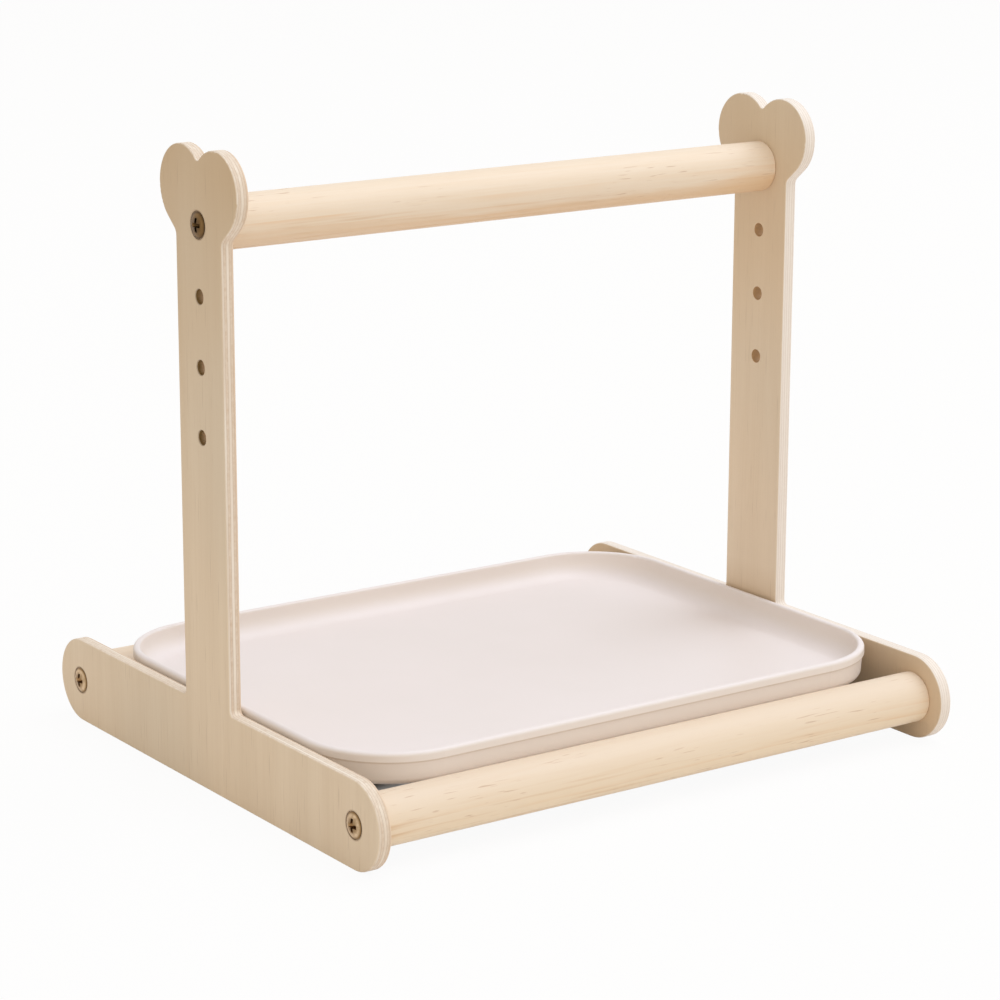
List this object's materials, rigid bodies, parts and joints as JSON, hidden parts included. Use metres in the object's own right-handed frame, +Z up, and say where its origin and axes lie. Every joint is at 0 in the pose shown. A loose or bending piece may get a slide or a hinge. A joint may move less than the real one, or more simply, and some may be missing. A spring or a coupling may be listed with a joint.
{
  "type": "parrot play stand",
  "caption": "Knock-down tabletop play stand for parrots: two plywood inverted-T side frames with two-lobed tops, round wooden bars, a height-adjustable perch and a lift-out tray.",
  "frame": {"origin": "on the floor, under the middle of the stand", "axes": "+X along the bars, from the left frame to the right one; +Y to the rear; +Z up; the front is at -Y"},
  "size_m": [0.3072, 0.271, 0.2783],
  "materials": {
    "plywood": "sanded light plywood, faces lightly grained, edges showing the plies",
    "pine": "sanded pine dowel, satin",
    "tray_plastic": "moulded off-white plastic, smooth, low gloss",
    "screw_metal": "antique bronze plated, satin",
    "insert_metal": "plain turned brass"
  },
  "bodies": {
    "stand": {"side_frame_left": "plywood", "side_frame_right": "plywood", "perch": "pine", "front_bar": "pine", "rear_bar": "pine", "front_screw_left": "screw_metal", "front_screw_right": "screw_metal", "rear_screw_left": "screw_metal", "rear_screw_right": "screw_metal", "perch_insert_left": "insert_metal", "perch_insert_right": "insert_metal", "front_insert_left": "insert_metal", "front_insert_right": "insert_metal", "rear_insert_left": "insert_metal", "rear_insert_right": "insert_metal"},
    "tray": {"tray": "tray_plastic"},
    "perch_screw_left": {"perch_screw_left": "screw_metal"},
    "perch_screw_right": {"perch_screw_right": "screw_metal"}
  },
  "joints": [
    {"name": "tray_lift_out", "type": "slide", "parent": "stand", "child": "tray", "axis": [0, -0.6, 0.8], "range_m": [0, 0.43]},
    {"name": "perch_screw_left_out", "type": "slide", "parent": "stand", "child": "perch_screw_left", "axis": [-1, 0, 0], "range_m": [0, 0.035]},
    {"name": "perch_screw_right_out", "type": "slide", "parent": "stand", "child": "perch_screw_right", "axis": [1, 0, 0], "range_m": [0, 0.035]}
  ]
}
